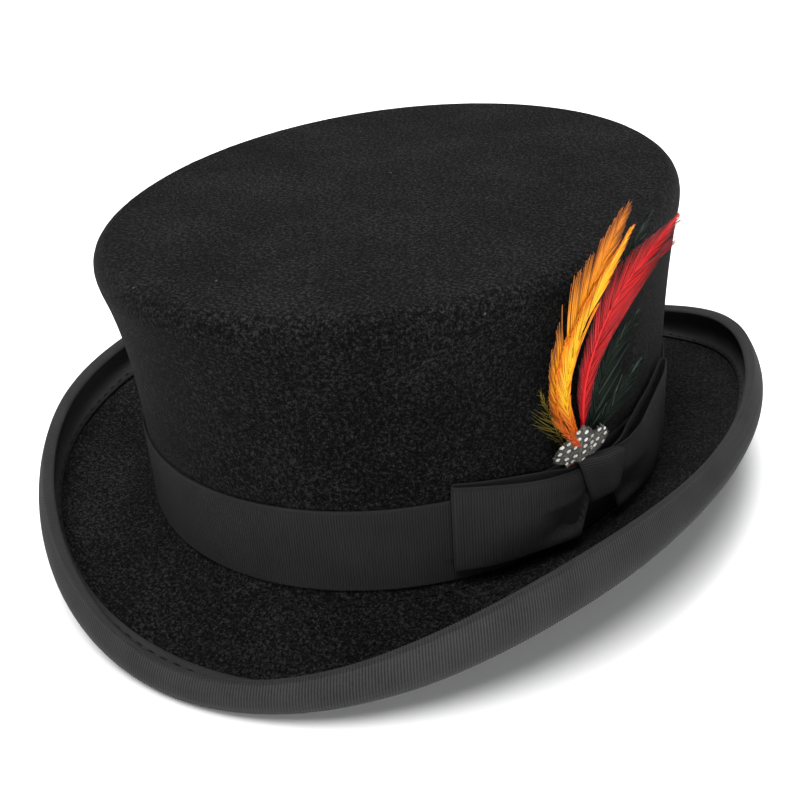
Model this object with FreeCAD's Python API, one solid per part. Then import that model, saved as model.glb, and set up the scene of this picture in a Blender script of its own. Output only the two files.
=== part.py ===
"""Black wool felt top hat with a ribbon band, a bow and a feather plume that pulls out.

Frame: the hat's front faces -Y, the wearer's left is +X and up is +Z. The origin is the centre
of the head opening, at the height where the crown meets the brim. Lengths are in millimetres.

A place on the hat is given by an angle around the base oval (0 at the wearer's left, -90 degrees
at the front), a height z, and a distance r measured outwards, square to the base oval.
"""
import FreeCAD, Part
import math
import os

Vector = FreeCAD.Vector

# Crown
HALF_WIDTH = 87.8
HALF_LENGTH = 102.0
CROWN_HEIGHT = 93.6
FLARE_MEAN = 8.5
FLARE_AT_SIDES = -4.6
FLARE_POWER = 3.7
TIP_EDGE_RADIUS = 5.0
FELT = 2.4
BREAK_FILLET = 1.6

# Brim: each "AT_SIDES" value is added at the sides and taken off at the front and back
BRIM_WIDTH = 32.8
BRIM_WIDTH_AT_SIDES = -4.3
BRIM_BULGE = 10.4
CREST_HEIGHT = 13.3
CREST_RISE_AT_SIDES = 15.0
CREST_DIP_ON_DIAGONALS = -5.0
SAG_HEIGHT = -1.2
SAG_RISE_AT_SIDES = 16.8

# Ribbons and trims
GAP = 0.15
BINDING = 0.6
BINDING_WIDTH = 14.5
BAND = 0.7
BAND_BOTTOM = 3.0
BAND_TOP = 30.2
LINING = 0.4
LINING_TOP = 84.4
SWEATBAND = 1.2
SWEATBAND_TOP = 42.0
SWEATBAND_BOTTOM = -0.8
REED_RADIUS = 0.9
REED_STEPS = 8
THREAD_RADIUS = 0.25
SWEATBAND_STITCHES = 124
BINDING_STITCHES = 150
STITCH_FILL = 0.5

# Bow: distances run along the hat's side from the knot's centre
BOW_ANGLE = math.radians(-21.0)
SIDE_RADIUS = 100.0
WING_LENGTH = 50.0
WING_TOP = 36.8
WING_TOP_AT_KNOT = 29.4
WING_BOTTOM = 7.0
WING_BOTTOM_AT_KNOT = 18.2
RIBBON = 0.5
WING_STEPS = 20
KNOT_HALF_WIDTH = 8.5
KNOT_BACK = 4.1
KNOT_FRONT = 7.7
KNOT_BOTTOM = 16.6
KNOT_TOP = 31.6

# Plume
STEM_CENTRE = -5.5
STEM_BOTTOM = 14.0
STEM_TOP = 34.0
STEM_LEAN = math.tan(math.radians(4.0))
QUILL_WIDTH = 1.0
QUILL_PITCH = 1.3
QUILL_R = 2.1
PATCH = 0.45
LAYER = 1.0
FEATHER_THICKNESS = 0.6
VANE_BOTTOM = 41.0
VANE_FULL = 54.0

# Rings along the felt's section
TIP_STEPS = 6
WALL_STEPS = 10
FILLET_STEPS = 4
BRIM_STEPS = 21
BRIM_START = 0.09
RING_POINTS = 48
ANGLES = [2 * math.pi * i / RING_POINTS for i in range(RING_POINTS)]


# ---------------------------------------------------------------- places on the hat
def place(angle, r, z):
    """The point at this angle, r outside the base oval and z above the brim break."""
    normal = Vector(math.cos(angle) / HALF_WIDTH, math.sin(angle) / HALF_LENGTH, 0).normalize()
    base = Vector(HALF_WIDTH * math.cos(angle), HALF_LENGTH * math.sin(angle), z)
    return base + normal * r


def beside_bow(along, r, z):
    """The point this far along the side from the bow's knot, positive towards the back."""
    return place(BOW_ANGLE + along / SIDE_RADIUS, r, z)


def flare(angle, z):
    """How far the crown stands outside the base oval at this height."""
    amount = FLARE_MEAN + FLARE_AT_SIDES * math.cos(2 * angle)
    return amount * (max(z, 0.0) / CROWN_HEIGHT) ** FLARE_POWER


def flare_slope(angle, z):
    return (flare(angle, z + 0.1) - flare(angle, z - 0.1)) / 0.2


def off_wall(angle, z, distance):
    """How far outside the base oval a point is that stands this far from the crown's face."""
    return flare(angle, z) + distance * math.hypot(1, flare_slope(angle, z))


def brim_controls(angle):
    """Control points (r, z) of the cubic curve that the brim's upper face follows."""
    side = math.cos(2 * angle)
    width = BRIM_WIDTH + BRIM_WIDTH_AT_SIDES * side
    sag = SAG_HEIGHT + SAG_RISE_AT_SIDES * side
    crest = CREST_HEIGHT + CREST_RISE_AT_SIDES * side + CREST_DIP_ON_DIAGONALS * math.cos(4 * angle)
    return [(0, 0), (0.55 * width, 0.5 * sag), (width + BRIM_BULGE, sag), (width, crest)]


def brim_place(angle, t, depth):
    """A point of the brim at parameter t, this deep below its upper face, as (r, z)."""
    p = brim_controls(angle)
    weights = [(1 - t) ** 3, 3 * t * (1 - t) ** 2, 3 * t * t * (1 - t), t ** 3]
    slopes = [3 * (1 - t) ** 2, 6 * t * (1 - t), 3 * t * t]
    r, z = [sum(w * q[i] for w, q in zip(weights, p)) for i in (0, 1)]
    dr, dz = [sum(s * (p[k + 1][i] - p[k][i]) for k, s in enumerate(slopes)) for i in (0, 1)]
    length = math.hypot(dr, dz)
    return r + dz / length * depth, z - dr / length * depth


def crown_profile(angle, depth):
    """The felt's section (r, z) from the flat tip to the brim's edge, this deep in the felt."""
    points = []
    lean = math.atan(flare_slope(angle, CROWN_HEIGHT - TIP_EDGE_RADIUS))
    z_join = CROWN_HEIGHT - TIP_EDGE_RADIUS * (1 + math.sin(lean))
    centre_r = flare(angle, z_join) - TIP_EDGE_RADIUS * math.cos(lean)
    centre_z = CROWN_HEIGHT - TIP_EDGE_RADIUS
    radius = TIP_EDGE_RADIUS - depth
    for i in range(TIP_STEPS):
        turn = math.pi / 2 - (math.pi / 2 + lean) * i / TIP_STEPS
        points.append((centre_r + radius * math.cos(turn), centre_z + radius * math.sin(turn)))
    first = brim_controls(angle)[1]
    dip = math.atan2(first[1], first[0])
    z_break = BREAK_FILLET * (1 + math.sin(dip)) / math.cos(dip)
    for i in range(WALL_STEPS + 1):
        z = z_join + (z_break - z_join) * i / WALL_STEPS
        slope = flare_slope(angle, z)
        length = math.hypot(1, slope)
        points.append((flare(angle, z) - depth / length, z + depth * slope / length))
    radius = BREAK_FILLET + depth
    for i in range(1, FILLET_STEPS):
        turn = math.pi + (math.pi / 2 + dip) * i / FILLET_STEPS
        points.append((BREAK_FILLET + radius * math.cos(turn), z_break + radius * math.sin(turn)))
    for i in range(BRIM_STEPS + 1):
        t = BRIM_START + (1 - BRIM_START) * i / BRIM_STEPS
        points.append(brim_place(angle, t, depth))
    return points


# ---------------------------------------------------------------- solids from rings and sections
def ring(section_point):
    """A closed curve around the hat; section_point(angle) gives its (r, z)."""
    curve = Part.BSplineCurve()
    curve.interpolate([place(a, *section_point(a)) for a in ANGLES], PeriodicFlag=True)
    return Part.Wire(curve.toShape())


def close_skin(faces):
    skin = Part.makeCompound(faces)
    skin.sewShape(0.001)
    solid = Part.Solid(skin.Shells[0])
    if solid.Volume < 0:
        solid.reverse()
    return solid


def strip(ring_a, ring_b):
    """The ruled face between two rings."""
    return Part.makeRuledSurface(ring_a.Edges[0], ring_b.Edges[0])


def strips(rings):
    return [strip(a, b) for a, b in zip(rings, rings[1:])]


def ring_solid(rings):
    """A closed solid around the hat, whose skin runs through the rings and back to the first."""
    return close_skin(strips(rings + rings[:1]))


def section_solid(sections, smooth=True):
    """A solid through closed polygons."""
    wires = [Part.makePolygon(points + points[:1]) for points in sections]
    return Part.makeLoft(wires, True, not smooth)


def layer_ring_solid(bottom, top, r_inner, r_outer, levels=6):
    """A thin layer that follows the crown between two heights, at distances from its face."""
    heights = [bottom + (top - bottom) * i / (levels - 1) for i in range(levels)]
    inner = [ring(lambda a, z=z: (off_wall(a, z, r_inner), z)) for z in heights]
    outer = [ring(lambda a, z=z: (off_wall(a, z, r_outer), z)) for z in heights]
    return ring_solid(inner + outer[::-1])


def side_patch(along, half_width, bottom, top, r_inner, r_outer, steps=4):
    """A thin curved plate on the side beside the bow."""
    sections = []
    for i in range(steps + 1):
        s = along - half_width + 2 * half_width * i / steps
        corners = [(r_inner, bottom), (r_outer, bottom), (r_outer, top), (r_inner, top)]
        sections.append([beside_bow(s, r, z) for r, z in corners])
    return section_solid(sections)


def thread(start, end, radius=THREAD_RADIUS):
    along = end - start
    return Part.makeCylinder(radius, along.Length, start, along)


# ---------------------------------------------------------------- felt, lining and sweatband
def felt_body():
    count = len(crown_profile(0, 0))
    outer = [ring(lambda a, k=k: crown_profile(a, 0)[k]) for k in range(count)]
    inner = [ring(lambda a, k=k: crown_profile(a, FELT)[k]) for k in range(count)]
    caps = [Part.Face(outer[0]), Part.Face(inner[0])]
    return close_skin(caps + strips(outer + inner[::-1]))


def lining_side():
    r_outer = -FELT - GAP
    return layer_ring_solid(8.0, LINING_TOP, r_outer - LINING, r_outer, 10)


def lining_tip():
    """An oval panel that closes the lining's top."""
    r_edge = -FELT - 2 * GAP - LINING
    z_top = LINING_TOP + GAP + LINING
    outlines = [ring(lambda a, z=z: (off_wall(a, LINING_TOP, r_edge), z)) for z in (z_top - LINING, z_top)]
    return close_skin([Part.Face(outlines[0]), Part.Face(outlines[1]), strip(*outlines)])


SWEATBAND_R = -FELT - LINING - 2 * GAP


def sweatband():
    return layer_ring_solid(SWEATBAND_BOTTOM, SWEATBAND_TOP, SWEATBAND_R - SWEATBAND, SWEATBAND_R)


def sweatband_reed():
    """The round stiffener sewn along the sweatband's lower edge."""
    centre_r = SWEATBAND_R - SWEATBAND / 2
    centre_z = SWEATBAND_BOTTOM - GAP - REED_RADIUS

    turns = [2 * math.pi * i / REED_STEPS for i in range(REED_STEPS)]

    def section_point(turn):
        return centre_r + REED_RADIUS * math.cos(turn), centre_z + REED_RADIUS * math.sin(turn)

    return ring_solid([ring(lambda a, u=u: section_point(u)) for u in turns])


def sweatband_bow():
    """The small flat bow that marks the back of the sweatband."""
    back = math.pi / 2
    r = SWEATBAND_R - SWEATBAND - GAP
    z = 7.0
    half_heights = [(-8.0, 2.6), (-4.5, 2.3), (-1.2, 0.9), (0.0, 1.3), (1.2, 0.9), (4.5, 2.3), (8.0, 2.6)]
    sections = []
    for along, half in half_heights:
        angle = back + along / HALF_WIDTH
        corners = [(r, z - half), (r, z + half), (r - 1.1, z + half), (r - 1.1, z - half)]
        sections.append([place(angle, *corner) for corner in corners])
    return section_solid(sections)


def size_label():
    """A blank woven label on the sweatband, beside the small bow."""
    r = SWEATBAND_R - SWEATBAND - GAP
    sections = []
    for i in range(5):
        angle = math.pi / 2 + (-9 + 18 * i / 4) / HALF_WIDTH
        corners = [(r, 18), (r, 30), (r - 0.3, 30), (r - 0.3, 18)]
        sections.append([place(angle, *corner) for corner in corners])
    return section_solid(sections)


# ---------------------------------------------------------------- ribbons on the outside
def hat_band():
    return layer_ring_solid(BAND_BOTTOM, BAND_TOP, GAP, GAP + BAND)


def binding_start(angle):
    """The brim curve's parameter where the binding's upper leg begins."""
    t = 1.0
    step = 0.005
    length = 0.0
    previous = brim_place(angle, t, 0)
    while length < BINDING_WIDTH:
        t -= step
        point = brim_place(angle, t, 0)
        length += math.dist(point, previous)
        previous = point
    return t


BINDING_START = {angle: binding_start(angle) for angle in ANGLES}


def brim_binding():
    """Ribbon folded over the brim's edge: a leg on each face of the brim."""
    steps = 9
    edge_turns = 6

    def leg_point(angle, share, depth):
        start = BINDING_START[angle]
        return brim_place(angle, start + (1 - start) * share, depth)

    def leg(depth):
        return [ring(lambda a, i=i: leg_point(a, i / steps, depth)) for i in range(steps + 1)]

    def edge_point(angle, turn):
        """A point of the rounded outer fold, turn from 0 (upper face) to pi (lower face)."""
        reach = FELT / 2 + GAP + BINDING
        r_top, z_top = brim_place(angle, 1, -reach + FELT / 2)
        r_low, z_low = brim_place(angle, 1, reach + FELT / 2)
        middle = ((r_top + r_low) / 2, (z_top + z_low) / 2)
        up = ((r_top - r_low) / (2 * reach), (z_top - z_low) / (2 * reach))
        ahead = (up[1], -up[0])
        across = reach * math.cos(turn)
        forward = (GAP + BINDING) * math.sin(turn)
        return (middle[0] + up[0] * across + ahead[0] * forward, middle[1] + up[1] * across + ahead[1] * forward)

    def inner_edge_point(angle, depth):
        r, z = brim_place(angle, 1, depth)
        r_top, z_top = brim_place(angle, 1, 0)
        r_low, z_low = brim_place(angle, 1, FELT)
        up = ((r_top - r_low) / FELT, (z_top - z_low) / FELT)
        return (r + up[1] * GAP, z - up[0] * GAP)

    upper_out = leg(-GAP - BINDING)
    lower_out = leg(FELT + GAP + BINDING)
    turns = [math.pi * i / edge_turns for i in range(1, edge_turns)]
    fold = [ring(lambda a, u=u: edge_point(a, u)) for u in turns]
    upper_in = leg(-GAP) + [ring(lambda a: inner_edge_point(a, -GAP))]
    lower_in = leg(FELT + GAP) + [ring(lambda a: inner_edge_point(a, FELT + GAP))]
    return ring_solid(upper_out + fold + lower_out[::-1] + lower_in + upper_in[::-1])


def stitch_row(count, at):
    """Short threads in a row around the hat; at(angle) gives each end's (r, z)."""
    pitch = 2 * math.pi / count
    threads = []
    for i in range(count):
        start = pitch * i
        end = start + pitch * STITCH_FILL
        threads.append(thread(place(start, *at(start)), place(end, *at(end))))
    return Part.makeCompound(threads)


def sweatband_stitches():
    lift = -THREAD_RADIUS - 0.1
    return stitch_row(SWEATBAND_STITCHES, lambda a: brim_place(a, 0.055, lift - 0.25))


def binding_stitches():
    """Threads on the binding's upper leg, close to its free edge."""
    lift = -(GAP + BINDING + THREAD_RADIUS + 0.12)

    def at(angle):
        start = binding_start(angle)
        return brim_place(angle, start + (1 - start) * 0.09, lift)

    return stitch_row(BINDING_STITCHES, at)


# ---------------------------------------------------------------- bow
def ease(value, low, high):
    share = min(max((value - low) / (high - low), 0.0), 1.0)
    return share * share * (3 - 2 * share)


def wing_edges(along):
    """The ribbon's lower and upper edge height this far from the knot's centre."""
    past_knot = along - KNOT_HALF_WIDTH - 0.5
    bottom = WING_BOTTOM_AT_KNOT + (WING_BOTTOM - WING_BOTTOM_AT_KNOT) * ease(past_knot, 0.0, 6.5)
    top = WING_TOP_AT_KNOT + (WING_TOP - WING_TOP_AT_KNOT) * max(past_knot, 0.0) / WING_LENGTH
    return bottom, top


def bow_wing(direction):
    """One loop of ribbon: out from the knot, folded at its free end, and back behind itself."""
    fold_radius = 0.9
    fold_r = BAND + 2 * GAP + RIBBON / 2 + fold_radius + 0.15
    fold_at = WING_LENGTH - fold_radius
    outer_leg = [(1.0, 6.35), (9.0, 6.3), (14.0, 6.6), (24.0, 6.4), (35.0, 5.2), (43.0, 4.0), (fold_at, fold_r + fold_radius)]
    inner_leg = [(1.0, 5.2), (9.0, 5.15), (12.0, 4.9), (19.0, 3.2), (28.0, 1.9), (38.0, 1.5), (fold_at, fold_r - fold_radius)]
    path = resample(outer_leg, WING_STEPS)
    for i in range(1, 6):
        turn = math.pi / 2 - math.pi * i / 6
        path.append((fold_at + fold_radius * math.cos(turn), fold_r + fold_radius * math.sin(turn)))
    path += resample(inner_leg, WING_STEPS)[::-1]
    sections = []
    for i, (along, r) in enumerate(path):
        before = path[max(i - 1, 0)]
        after = path[min(i + 1, len(path) - 1)]
        length = math.dist(before, after)
        side = (-(after[1] - before[1]) / length, (after[0] - before[0]) / length)
        half = RIBBON / 2
        bottom, top = wing_edges(along)
        ends = [(along + side[0] * half, r + side[1] * half), (along - side[0] * half, r - side[1] * half)]
        lower = [beside_bow(direction * s, q, bottom) for s, q in ends]
        upper = [beside_bow(direction * s, q, top) for s, q in reversed(ends)]
        sections.append(lower + upper)
    return section_solid(sections, smooth=False)


def resample(points, steps):
    """Evenly spaced points on the broken line through these points, its corners eased."""
    result = []
    for i in range(steps + 1):
        along = points[0][0] + (points[-1][0] - points[0][0]) * i / steps
        k = max(j for j in range(len(points) - 1) if points[j][0] <= along + 1e-9)
        share = ease(along, points[k][0], points[k + 1][0])
        result.append((along, points[k][1] + (points[k + 1][1] - points[k][1]) * share))
    return result


def bow_knot():
    """A flat sleeve of ribbon around the pinched inner ends of both wings."""
    outer = side_patch(0, KNOT_HALF_WIDTH, KNOT_BOTTOM, KNOT_TOP, KNOT_BACK, KNOT_FRONT)
    opening = side_patch(
        0, KNOT_HALF_WIDTH + 2, KNOT_BOTTOM + RIBBON, KNOT_TOP - RIBBON, KNOT_BACK + RIBBON, KNOT_FRONT - RIBBON
    )
    return outer.cut(opening)


def bow_tack_stitches():
    """Short threads over the lower and upper corners of each wing's free end."""
    threads = []
    for direction in (-1, 1):
        for z in (WING_BOTTOM + 2.5, WING_TOP - 3.5):
            start = beside_bow(direction * (WING_LENGTH + 0.6), 1.3, z)
            end = beside_bow(direction * (WING_LENGTH + 3.0), 1.3, z)
            threads.append(thread(start, end))
    return Part.makeCompound(threads)


# ---------------------------------------------------------------- plume
def stem_r(z):
    """Distance of the quills' centre from the base oval, behind the knot."""
    return QUILL_R + (z - STEM_BOTTOM) * STEM_LEAN


def feather(slot, spine, left, right, vane_bottom=VANE_BOTTOM, vane_full=VANE_FULL):
    """A flat feather whose quill starts in the stem.

    slot is the quill's place in the stem's row, spine lists (along, r, z) above the stem,
    and left and right are the vane's greatest widths.
    """
    quill_along = STEM_CENTRE + slot * QUILL_PITCH
    quill_heights = (STEM_BOTTOM, 21.0, 28.0, STEM_TOP)
    points = [beside_bow(quill_along, stem_r(z), z) for z in quill_heights]
    points += [beside_bow(*point) for point in spine]
    return vane(points, left, right, vane_bottom, vane_full)


def vane(points, left, right, vane_bottom, vane_full):
    """A thin solid along a curve: a square quill that widens into a pointed vane.

    The vane starts at height vane_bottom and reaches its full width at vane_full.
    """
    curve = Part.BSplineCurve()
    curve.interpolate(points)
    steps = 22
    first, last = curve.FirstParameter, curve.LastParameter
    sections = []
    for i in range(steps + 1):
        share = i / steps
        u = first + (last - first) * share
        centre = curve.value(u)
        ahead = Vector(*curve.tangent(u)[0]).normalize()
        outward = Vector(centre.x / HALF_WIDTH ** 2, centre.y / HALF_LENGTH ** 2, 0).normalize()
        across = Vector(0, 0, 1).cross(outward).normalize()
        across = (across - ahead * across.dot(ahead)).normalize()
        front = across.cross(ahead).normalize()
        grow = ease(centre.z, vane_bottom, vane_full) * (1 - ease(share, 0.72, 1.06))
        half_quill = 0.5 * QUILL_WIDTH
        thick = half_quill + (FEATHER_THICKNESS / 2 - half_quill) * ease(centre.z, STEM_TOP, vane_full)
        sections.append([
            centre - across * (half_quill + grow * left),
            centre + front * thick,
            centre + across * (half_quill + grow * right),
            centre - front * thick,
        ])
    return section_solid(sections)


def over(layer, z):
    """Distance of a feather's spine from the base oval, by its layer in the plume."""
    spread = ease(z, STEM_TOP, 46.0)
    lean = 0.085 * (z - STEM_TOP) + 0.0014 * max(z - 40.0, 0.0) ** 2
    return stem_r(STEM_TOP) + lean + layer * LAYER * spread


def spine(layer, points):
    return [(along, over(layer, z), z) for along, z in points]


def orange_feather_long():
    line = [(-13.5, 42), (-18.5, 50), (-21, 66), (-19, 80), (-15, 92), (-11.5, 105), (-9, 116)]
    return feather(-3, spine(3, line), 6.5, 3.5)


def orange_feather_forked():
    line = [(-11.5, 42), (-16, 50), (-18.5, 66), (-15, 84), (-11.5, 95), (-7, 108)]
    return feather(-2, spine(4, line), 3.0, 4.0)


def red_feather():
    line = [(-9, 45), (-10, 59), (-8.5, 70), (-4, 84), (5.5, 95), (17, 103)]
    return feather(-1, spine(2, line), 5.5, 9.5)


def green_feathers():
    tall = feather(0, spine(0, [(-5, 44), (-4, 56), (-3, 74), (-0.5, 94), (5, 108)]), 5, 5)
    middle = feather(1, spine(1, [(-3.5, 44), (-2, 57), (3.5, 68), (10, 76)]), 5, 6)
    low = feather(2, spine(2, [(-1.2, 40), (3, 46), (9, 52), (17, 57)]), 3, 4.5, 38.0, 48.0)
    return Part.makeCompound([tall, middle, low])


def hackle_wisps():
    """A long wisp behind the quills, and a short one in front of the spotted feathers."""
    upper = feather(-4, spine(0, [(-14, 40), (-20, 52), (-24.5, 62)]), 2.5, 2)
    line = [(-9, 11.5, 36.0), (-14, 12.0, 42), (-20, 12.6, 50), (-25, 13.2, 56)]
    front = vane([beside_bow(*point) for point in line], 1.5, 1.5, 36.0, 42.0)
    return Part.makeCompound([upper, front])


def guinea_fowl_feathers():
    """Three short rounded feathers that cover the foot of the plume."""
    solids = []
    for start, end, lift, top in ((-13, -18, 0.0, 43), (-10, -12, 1.0, 47), (-6, -2.5, 0.0, 43)):
        middle = (start + end) / 2
        line = [(start, 6.0 + lift, 33.2), (middle, 7.6 + lift, (33.2 + top) / 2), (end, 9.0 + lift, top)]
        points = [beside_bow(*point) for point in line]
        solids.append(vane(points, 3.2, 3.2, 31.0, 37.0))
    return Part.makeCompound(solids)


def stem_outline(z, margin, back, front):
    """The stem's outline at this height, as points around its row of quills."""
    half = 3 * QUILL_PITCH + QUILL_WIDTH / 2 + margin
    middle = STEM_CENTRE - QUILL_PITCH
    stops = [middle - half + 2 * half * i / 4 for i in range(5)]
    r = stem_r(z)
    points = [beside_bow(s, r - back, z) for s in stops]
    return points + [beside_bow(s, r + front, z) for s in reversed(stops)]


def quill_thread():
    """The thread that ties the quills and the backing patch, above the knot."""
    low, high = KNOT_TOP + 0.4, KNOT_TOP + 2.1
    outer = section_solid([stem_outline(z, 0.8, 1.9, 1.1) for z in (low, high)], False)
    inner = section_solid([stem_outline(z, 0.4, 1.55, 0.75) for z in (low - 1, high + 1)], False)
    return outer.cut(inner)


def backing_patch():
    back = QUILL_WIDTH / 2 + 2 * GAP + PATCH
    front = -(QUILL_WIDTH / 2 + 2 * GAP)
    return section_solid([stem_outline(z, 0.2, back, front) for z in (STEM_BOTTOM, STEM_TOP)], False)


NODES = {
    "felt_body": felt_body,
    "hat_band": hat_band,
    "brim_binding": brim_binding,
    "binding_stitches": binding_stitches,
    "bow_front_wing": lambda: bow_wing(-1),
    "bow_rear_wing": lambda: bow_wing(1),
    "bow_knot": bow_knot,
    "bow_tack_stitches": bow_tack_stitches,
    "sweatband": sweatband,
    "sweatband_reed": sweatband_reed,
    "sweatband_bow": sweatband_bow,
    "sweatband_stitches": sweatband_stitches,
    "size_label": size_label,
    "lining_side": lining_side,
    "lining_tip": lining_tip,
    "orange_feather_long": orange_feather_long,
    "orange_feather_forked": orange_feather_forked,
    "red_feather": red_feather,
    "green_feathers": green_feathers,
    "hackle_wisps": hackle_wisps,
    "guinea_fowl_feathers": guinea_fowl_feathers,
    "quill_thread": quill_thread,
    "backing_patch": backing_patch,
}


def main():
    os.makedirs("parts", exist_ok=True)
    for name, build in NODES.items():
        shape = build()
        print(name, "valid" if shape.isValid() else "NOT VALID", len(shape.Solids), round(shape.Volume))
        shape.exportStep("parts/" + name + ".step")


main()
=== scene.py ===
import math

import bpy
import numpy as np
from mathutils import Matrix, Vector


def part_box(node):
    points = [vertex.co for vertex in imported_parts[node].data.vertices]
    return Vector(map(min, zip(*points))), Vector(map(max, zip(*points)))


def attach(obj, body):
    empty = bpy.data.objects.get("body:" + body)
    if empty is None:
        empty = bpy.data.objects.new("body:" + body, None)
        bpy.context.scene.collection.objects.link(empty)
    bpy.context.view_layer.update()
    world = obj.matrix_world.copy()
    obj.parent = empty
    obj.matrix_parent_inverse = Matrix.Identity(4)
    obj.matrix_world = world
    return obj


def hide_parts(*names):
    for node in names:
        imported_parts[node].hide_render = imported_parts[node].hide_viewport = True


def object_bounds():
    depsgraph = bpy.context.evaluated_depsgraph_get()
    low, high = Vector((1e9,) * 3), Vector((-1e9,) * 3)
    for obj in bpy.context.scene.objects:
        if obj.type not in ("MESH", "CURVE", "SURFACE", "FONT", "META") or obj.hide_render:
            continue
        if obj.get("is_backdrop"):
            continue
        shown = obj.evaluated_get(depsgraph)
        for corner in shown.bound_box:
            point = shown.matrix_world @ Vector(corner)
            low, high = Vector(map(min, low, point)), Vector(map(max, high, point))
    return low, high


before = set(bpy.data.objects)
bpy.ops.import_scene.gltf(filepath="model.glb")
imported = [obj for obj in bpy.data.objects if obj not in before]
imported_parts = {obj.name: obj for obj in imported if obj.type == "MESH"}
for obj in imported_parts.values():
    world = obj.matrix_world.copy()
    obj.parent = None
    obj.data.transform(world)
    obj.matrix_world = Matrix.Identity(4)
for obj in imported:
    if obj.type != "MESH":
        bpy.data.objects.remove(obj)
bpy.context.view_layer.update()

# All shapes are worked out in millimetres from the CAD nodes; add() turns them into metres.
MM = 0.001
FULL_TURN = 2 * math.pi
rng = np.random.default_rng(7)

# --- reading the frame


def cad_box(node):
    """The lowest and highest corner of a CAD node, in mm."""
    return [np.array(corner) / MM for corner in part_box(node)]


def cad_mesh(node):
    """Welded vertices in mm and triangles of a CAD node."""
    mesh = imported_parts[node].data
    mesh.calc_loop_triangles()
    points = np.empty(len(mesh.vertices) * 3)
    mesh.vertices.foreach_get("co", points)
    points = points.reshape(-1, 3) / MM
    triangles = np.empty(len(mesh.loop_triangles) * 3, dtype=np.int64)
    mesh.loop_triangles.foreach_get("vertices", triangles)
    _, first, index = np.unique(np.round(points, 3), axis=0, return_index=True, return_inverse=True)
    return points[first], index.reshape(-1)[triangles].reshape(-1, 3)


def cut_loops(points, triangles, normal, offset):
    """The outlines where a mesh meets a plane, each as ordered points."""
    side = points @ np.array(normal) - offset
    above = side > 0
    count = above[triangles].sum(1)
    links = {}
    places = {}
    for tri in triangles[(count > 0) & (count < 3)]:
        keys = []
        for a, b in ((tri[0], tri[1]), (tri[1], tri[2]), (tri[2], tri[0])):
            if above[a] != above[b]:
                key = (min(a, b), max(a, b))
                places[key] = points[a] + (points[b] - points[a]) * (side[a] / (side[a] - side[b]))
                keys.append(key)
        links.setdefault(keys[0], []).append(keys[1])
        links.setdefault(keys[1], []).append(keys[0])
    loops = []
    while links:
        key = next(iter(links))
        loop = []
        while key is not None:
            loop.append(places[key])
            key = next((other for other in links.pop(key) if other in links), None)
        loops.append(np.array(loop))
    return loops


def cad_parts(node):
    """The separate solids of a node, each as (points, triangles)."""
    points, triangles = cad_mesh(node)
    label = np.arange(len(points))
    while True:
        lowest = label[triangles].min(1)
        new = label.copy()
        for corner in range(3):
            np.minimum.at(new, triangles[:, corner], lowest)
        if (new == label).all():
            break
        label = new
    parts = []
    for value in np.unique(label[triangles[:, 0]]):
        chosen = triangles[label[triangles[:, 0]] == value]
        used, index = np.unique(chosen, return_inverse=True)
        parts.append((points[used], index.reshape(-1, 3)))
    return sorted(parts, key=lambda part: math.atan2(part[0][:, 1].mean(), part[0][:, 0].mean()))


def unit(vectors):
    """The vectors along the last axis, each made 1 long."""
    return vectors / np.maximum(np.linalg.norm(vectors, axis=-1, keepdims=True), 1e-9)


def run_along(curve):
    """The length of a polyline up to each of its points."""
    return np.r_[0, np.cumsum(np.linalg.norm(np.diff(curve, axis=0), axis=1))]


def stack(*parts):
    """Points, one for each place, from arrays that broadcast together."""
    return np.stack(np.broadcast_arrays(*parts), -1)


def resample(curve, count, passes=0):
    """Evenly spaced points along a polyline, smoothed a little."""
    length = run_along(curve)
    at = np.linspace(0, length[-1], count)
    out = np.stack([np.interp(at, length, curve[:, i]) for i in range(curve.shape[1])], 1)
    for _ in range(passes):
        out[1:-1] = 0.25 * out[:-2] + 0.5 * out[1:-1] + 0.25 * out[2:]
    return out


def turns(count, shift=0.0):
    """Evenly spaced angles once around."""
    return (np.arange(count) + shift) * FULL_TURN / count


# --- the felt's section all around
SECTIONS = 180
# A small shift keeps the cutting planes off the CAD mesh's own vertices
PHI = turns(SECTIONS, 0.013)
# Below this height the crown's wall turns into the brim
FOOT = 2.6
FELT_TOP = cad_box("felt_body")[1][2]
# Points along the tip, the wall and the brim, and how often each is smoothed
FELT_COUNTS = (16, 56, 40)
FELT_PASSES = (0, 6, 1)


def felt_half_section(points, triangles, phi):
    """The felt's outline (distance from the axis, z), outer face and inner face, tip to brim edge."""
    loops = cut_loops(points, triangles, (-math.sin(phi), math.cos(phi), 0), 0)
    loop = max(loops, key=len)
    flat = np.stack([loop[:, 0] * math.cos(phi) + loop[:, 1] * math.sin(phi), loop[:, 2]], 1)
    inside = flat[:, 0] > 0
    start = np.nonzero(inside & ~np.roll(inside, 1))[0][0]
    run = np.roll(flat, -start, axis=0)[: inside.sum()]
    if run[0, 1] < run[-1, 1]:
        run = run[::-1]
    ahead = unit(np.diff(run, axis=0))
    turn = (ahead[1:] * ahead[:-1]).sum(1)
    # The brim's edge lies between the two sharpest corners in the outer part
    turn[run[1:-1, 0] < 0.85 * run[:, 0].max()] = 1
    first, second = sorted(np.argsort(turn)[:2] + 1)
    return run[: first + 1], run[second:][::-1]


def split_face(curve, top):
    """A face's outline in three stretches: tip, wall and brim."""
    tip_end = np.nonzero(curve[:, 1] < top - 0.05)[0][0] - 1
    wall_end = np.nonzero(curve[:, 1] < FOOT)[0][0]
    stretches = [curve[: tip_end + 1], curve[tip_end : wall_end + 1], curve[wall_end:]]
    stretches[0] = np.concatenate([[[2.0, top]], stretches[0][stretches[0][:, 0] > 2.5]])
    return [resample(*settings) for settings in zip(stretches, FELT_COUNTS, FELT_PASSES)]


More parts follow.
